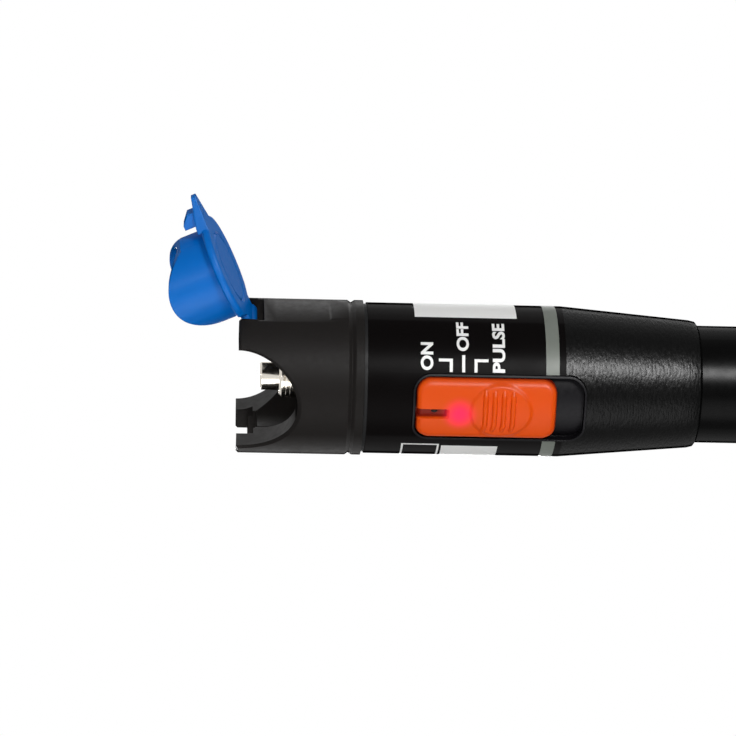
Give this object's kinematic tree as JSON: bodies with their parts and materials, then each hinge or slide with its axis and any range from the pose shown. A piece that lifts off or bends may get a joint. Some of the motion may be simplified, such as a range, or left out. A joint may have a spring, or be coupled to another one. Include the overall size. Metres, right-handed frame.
{
  "type": "visual fault locator",
  "caption": "Pen-shaped tester that shines red laser light into an optical fibre: flip-capped ferrule port, slide switch, tapered collar and round battery barrel.",
  "frame": {"origin": "centre of the flat tail face", "axes": "+Z along the pen from the tail to the mouth, +X towards the cap's hinge, -Y close to the slide switch"},
  "size_m": [0.0454, 0.0271, 0.1867],
  "materials": {
    "head_plastic": "fine moulded texture, satin black",
    "cap_plastic": "smooth translucent blue",
    "nickel": "bright nickel plating",
    "zirconia": "polished white ceramic",
    "brass": "turned",
    "lens_glass": "polished",
    "steel": "plain",
    "body_plastic": "plain black",
    "label_film": "printed film, satin dark grey",
    "switch_plastic": "satin black",
    "button_plastic": "satin orange, lets the lamp show through",
    "led_resin": "clear red",
    "board_laminate": "green solder mask",
    "chip_resin": "plain",
    "collar_metal": "black anodised, finely turned",
    "barrel_metal": "black anodised, smooth satin",
    "seal_rubber": "plain",
    "cell_jacket": "plain printed jacket"
  },
  "bodies": {
    "housing": {"head_shell": "head_plastic", "hinge_pin": "steel", "ferrule_holder": "nickel", "split_sleeve": "zirconia", "fibre_stub": "zirconia", "holder_nut": "brass", "laser_barrel": "brass", "laser_lens": "lens_glass", "laser_diode": "steel", "body_tube": "body_plastic", "label_sleeve": "label_film", "switch_tray": "switch_plastic", "switch_block": "steel", "indicator_led": "led_resin", "circuit_board": "board_laminate", "board_carrier": "body_plastic", "driver_chip": "chip_resin", "board_parts": "chip_resin", "ground_clip": "steel", "tapered_collar": "collar_metal", "battery_barrel": "barrel_metal", "tail_seal": "seal_rubber", "cell_rear": "cell_jacket", "cell_front": "cell_jacket", "contact_insulator": "body_plastic", "front_contact": "brass"},
    "cap": {"flip_cap": "cap_plastic"},
    "slider": {"switch_button": "button_plastic", "switch_lever": "body_plastic"},
    "tail": {"tail_cap": "barrel_metal", "tail_plate": "brass", "tail_spring": "steel"}
  },
  "joints": [
    {"name": "cap_hinge", "type": "hinge", "parent": "housing", "child": "cap", "pos_m": [0.01023, 0, 0.17295], "axis": [0, -1, 0], "range_deg": [0, 155]},
    {"name": "switch_slide", "type": "slide", "parent": "housing", "child": "slider", "axis": [0, 0, -1], "range_m": [0, 0.0041]},
    {"name": "tail_release", "type": "slide", "parent": "housing", "child": "tail", "axis": [0, 0, -1], "range_m": [0, 0.03]}
  ]
}
